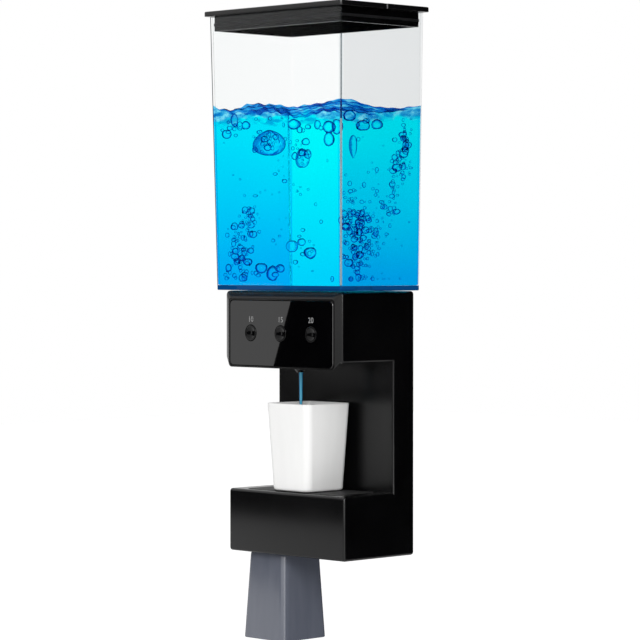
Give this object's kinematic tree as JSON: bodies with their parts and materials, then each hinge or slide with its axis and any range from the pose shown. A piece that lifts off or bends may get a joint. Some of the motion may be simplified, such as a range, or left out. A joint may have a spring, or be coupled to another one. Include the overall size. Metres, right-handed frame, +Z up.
{
  "type": "wall-mounted mouthwash dispenser",
  "caption": "Clear tapered tank with a flat lid on a black C-shaped wall housing with a glass button panel, a nozzle, a standing cup and a cup hung below.",
  "frame": {"origin": "middle of the adhesive pad's back face, where the dispenser meets the wall", "axes": "+Y into the wall, -Y towards the user, +X to the user's right, +Z up"},
  "size_m": [0.1004, 0.0637, 0.3206],
  "materials": {
    "black_abs": "moulded black ABS with a satin sheen",
    "black_glass": "polished glass, back-painted black",
    "button_black": "polished black plastic",
    "clear_plastic": "clear moulded styrene plastic, polished",
    "white_plastic": "white moulded polypropylene",
    "smoke_plastic": "smoke grey translucent plastic",
    "steel": "plain steel",
    "nickel": "nickel plated",
    "brass": "cut brass",
    "nylon": "natural nylon",
    "silicone": "translucent silicone",
    "black_rubber": "black rubber",
    "green_board": "green lacquered circuit board",
    "cell_wrap": "plastic wrap over a steel can",
    "foam_tape": "white foam mounting tape",
    "red_lead": "insulated wire",
    "black_lead": "insulated wire"
  },
  "bodies": {
    "bracket": {"wall_bracket": "black_abs", "adhesive_pad": "foam_tape"},
    "housing_body": {"main_housing": "black_abs", "back_cover": "black_abs", "fascia_bezel": "black_abs", "nozzle": "black_abs", "control_panel": "black_glass", "sensor_lens": "button_black", "pump_cover": "clear_plastic", "cover_screw_1": "steel", "cover_screw_2": "steel", "cover_screw_3": "steel", "cover_screw_4": "steel", "motor": "steel", "charge_socket": "steel", "shelf_magnet": "nickel", "left_magnet": "nickel", "right_magnet": "nickel", "cell_contact_minus": "nickel", "cell_contact_plus": "nickel", "tank_socket": "nylon", "pump_body": "nylon", "gear_case": "nylon", "dose_tube": "silicone", "cup_mat": "black_rubber", "battery_holder": "black_rubber", "switch_1": "black_rubber", "switch_2": "black_rubber", "switch_3": "black_rubber", "control_board": "green_board", "charge_board": "green_board", "hand_sensor": "green_board", "battery_cell": "cell_wrap", "battery_lead_red": "red_lead", "motor_lead_red": "red_lead", "battery_lead_black": "black_lead", "motor_lead_black": "black_lead"},
    "tank_body": {"tank": "clear_plastic", "spout_seal": "black_rubber", "spout_valve": "silicone"},
    "lid_body": {"lid": "black_abs", "lid_seal": "black_rubber"},
    "button_1_body": {"button_1": "button_black", "switch_plunger_1": "white_plastic"},
    "button_2_body": {"button_2": "button_black", "switch_plunger_2": "white_plastic"},
    "button_3_body": {"button_3": "button_black", "switch_plunger_3": "white_plastic"},
    "cup_white_body": {"cup_white": "white_plastic", "cup_white_disc": "steel"},
    "cup_grey_body": {"cup_grey": "smoke_plastic", "cup_grey_disc": "steel"},
    "rotor_body": {"pump_rotor": "nylon", "drive_gear": "nylon"},
    "roller_1_body": {"pump_roller_1": "steel"},
    "roller_2_body": {"pump_roller_2": "steel"},
    "roller_3_body": {"pump_roller_3": "steel"},
    "pinion_body": {"motor_pinion": "brass"},
    "plug_body": {"port_plug": "black_rubber"}
  },
  "joints": [
    {"name": "unit_lift", "type": "slide", "parent": "bracket", "child": "housing_body", "axis": [0, 0, 1], "range_m": [0, 0.0085]},
    {"name": "tank_lift", "type": "slide", "parent": "housing_body", "child": "tank_body", "axis": [0, 0, 1], "range_m": [0, 0.014]},
    {"name": "lid_lift", "type": "slide", "parent": "tank_body", "child": "lid_body", "axis": [0, 0, 1], "range_m": [0, 0.012]},
    {"name": "button_1_press", "type": "slide", "parent": "housing_body", "child": "button_1_body", "axis": [0, 1, 0], "range_m": [0, 0.0006], "stiffness_N_per_m": 2000, "springref_m": -0.0001},
    {"name": "button_2_press", "type": "slide", "parent": "housing_body", "child": "button_2_body", "axis": [0, 1, 0], "range_m": [0, 0.0006], "stiffness_N_per_m": 2000, "springref_m": -0.0001},
    {"name": "button_3_press", "type": "slide", "parent": "housing_body", "child": "button_3_body", "axis": [0, 1, 0], "range_m": [0, 0.0006], "stiffness_N_per_m": 2000, "springref_m": -0.0001},
    {"name": "cup_white_slide", "type": "slide", "parent": "housing_body", "child": "cup_white_body", "axis": [0, -1, 0], "range_m": [0, 0.04]},
    {"name": "cup_grey_pull", "type": "slide", "parent": "housing_body", "child": "cup_grey_body", "axis": [0, 0, -1], "range_m": [0, 0.05]},
    {"name": "pump_spin", "type": "hinge", "parent": "housing_body", "child": "rotor_body", "pos_m": [-0.025, -0.02, 0.0438], "axis": [1, 0, 0], "continuous": true},
    {"name": "motor_spin", "type": "hinge", "parent": "housing_body", "child": "pinion_body", "pos_m": [-0.014, -0.02842, 0.03833], "axis": [1, 0, 0], "continuous": true},
    {"name": "roller_1_spin", "type": "hinge", "parent": "rotor_body", "child": "roller_1_body", "pos_m": [-0.025, -0.02, 0.0494], "axis": [1, 0, 0], "continuous": true},
    {"name": "roller_2_spin", "type": "hinge", "parent": "rotor_body", "child": "roller_2_body", "pos_m": [-0.025, -0.02485, 0.041], "axis": [1, 0, 0], "continuous": true},
    {"name": "roller_3_spin", "type": "hinge", "parent": "rotor_body", "child": "roller_3_body", "pos_m": [-0.025, -0.01515, 0.041], "axis": [1, 0, 0], "continuous": true},
    {"name": "plug_pull", "type": "slide", "parent": "housing_body", "child": "plug_body", "axis": [-1, 0, 0], "range_m": [0, 0.008]}
  ],
  "couplings": [
    {"joint": "motor_spin", "follows": "pump_spin", "ratio": -2.3333}
  ]
}
